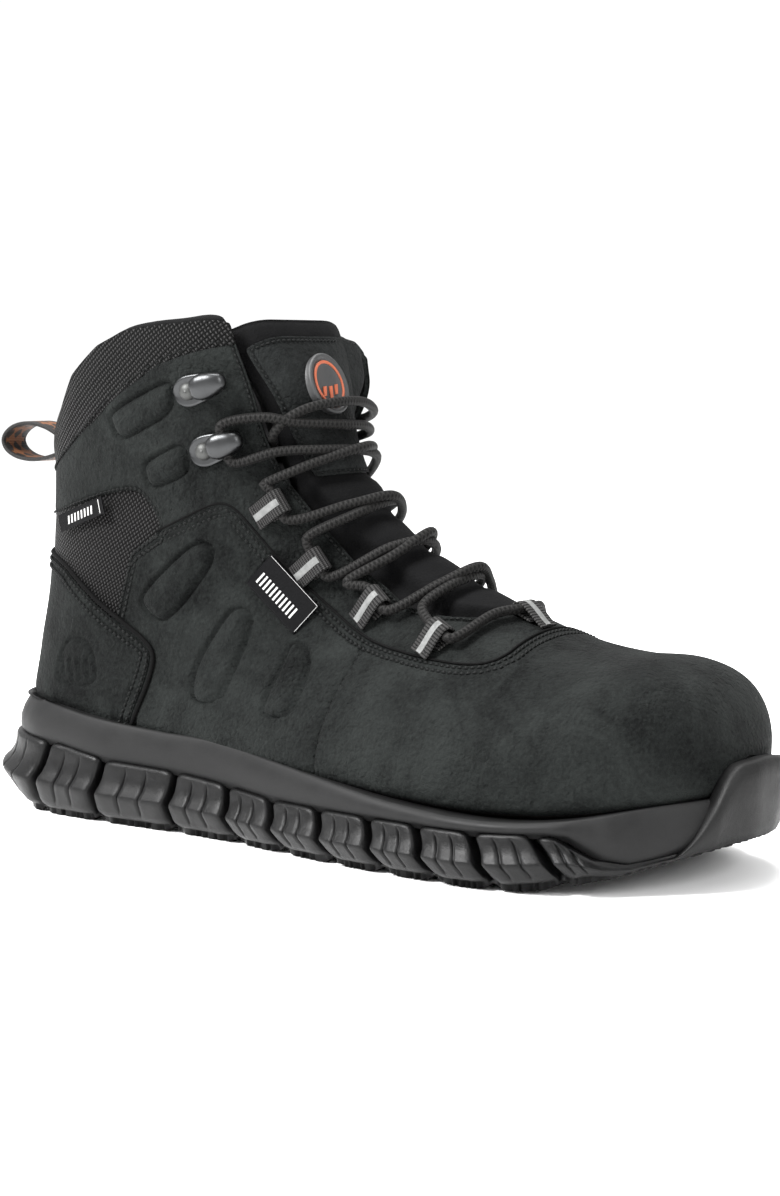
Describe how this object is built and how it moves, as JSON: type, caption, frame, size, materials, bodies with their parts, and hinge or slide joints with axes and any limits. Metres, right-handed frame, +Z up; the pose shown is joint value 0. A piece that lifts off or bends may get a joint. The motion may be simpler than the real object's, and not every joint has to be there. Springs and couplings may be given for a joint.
{
  "type": "steel toe work boot",
  "caption": "Insulated waterproof lace-up work boot for the right foot, ankle high, with a steel safety toe, speed hooks and a podded rubber sole.",
  "frame": {"origin": "on the ground, on the flat tread under the middle of the heel", "axes": "+X to the toe, +Y to the inner side of the foot, +Z up"},
  "size_m": [0.3332, 0.123, 0.1855],
  "materials": {
    "nubuck": "matt oiled nubuck",
    "nylon": "coarse ballistic weave",
    "lining": "brushed textile",
    "foam": "padded textile",
    "webbing": "ribbed webbing",
    "lace": "round braid",
    "rubber": "finely textured",
    "midsole": "smooth moulded foam",
    "steel": "pressed sheet",
    "board": "pressed fibre board",
    "gunmetal": "gunmetal plate",
    "badge": "moulded rubber badge",
    "plastic": "plain plastic"
  },
  "bodies": {
    "boot": {"heel_foxing": "nubuck", "shaft_lateral": "nubuck", "shaft_medial": "nubuck", "quarter_lateral": "nubuck", "quarter_medial": "nubuck", "vamp": "nubuck", "collar_shell": "nylon", "ankle_mesh_lateral": "nylon", "ankle_mesh_medial": "nylon", "lining_bootie": "lining", "collar_pad": "foam", "toe_cap_edge_strip": "foam", "backstay": "webbing", "lace_loop_toe": "webbing", "lace_loop_lateral_1": "webbing", "lace_loop_lateral_2": "webbing", "lace_loop_lateral_3": "webbing", "lace_loop_lateral_4": "webbing", "lace_loop_medial_1": "webbing", "lace_loop_medial_2": "webbing", "lace_loop_medial_3": "webbing", "lace_loop_medial_4": "webbing", "lace": "lace", "outsole": "rubber", "toe_bumper": "rubber", "midsole": "midsole", "steel_toe_cap": "steel", "shank": "steel", "insole_board": "board", "hook_lateral_lower": "gunmetal", "hook_lateral_upper": "gunmetal", "hook_medial_lower": "gunmetal", "hook_medial_upper": "gunmetal", "rivet_lateral_lower": "gunmetal", "rivet_lateral_upper": "gunmetal", "rivet_medial_lower": "gunmetal", "rivet_medial_upper": "gunmetal", "heel_counter": "plastic", "lace_aglet_lateral": "plastic", "lace_aglet_medial": "plastic"},
    "tongue": {"tongue_pad": "foam", "tongue_leather": "nubuck", "tongue_badge": "badge", "tongue_gusset_lateral": "lining", "tongue_gusset_medial": "lining"},
    "footbed": {"footbed": "foam"},
    "pull_loop": {"pull_loop": "webbing"},
    "seam_label": {"seam_label": "webbing"},
    "ankle_label": {"ankle_label": "webbing"}
  },
  "joints": [
    {"name": "tongue_tilt", "type": "hinge", "parent": "boot", "child": "tongue", "pos_m": [0.166, 0.005, 0.076], "axis": [0, -1, 0], "range_deg": [0, 3], "stiffness_Nm_per_rad": 2},
    {"name": "footbed_lift", "type": "hinge", "parent": "boot", "child": "footbed", "pos_m": [0.228, 0.005, 0.036], "axis": [0, 1, 0], "range_deg": [0, 3]},
    {"name": "pull_loop_flex", "type": "hinge", "parent": "boot", "child": "pull_loop", "pos_m": [-0.038, 0, 0.138], "axis": [0, 1, 0], "range_deg": [-20, 20], "stiffness_Nm_per_rad": 0.02},
    {"name": "seam_label_lift", "type": "hinge", "parent": "boot", "child": "seam_label", "pos_m": [0.09388, -0.02691, 0.0936], "axis": [-0.7404, -0.088, 0.6664], "range_deg": [0, 60]},
    {"name": "ankle_label_lift", "type": "hinge", "parent": "boot", "child": "ankle_label", "pos_m": [-0.0033, -0.0339, 0.1192], "axis": [-0.928, 0.2357, -0.2887], "range_deg": [0, 60]}
  ]
}
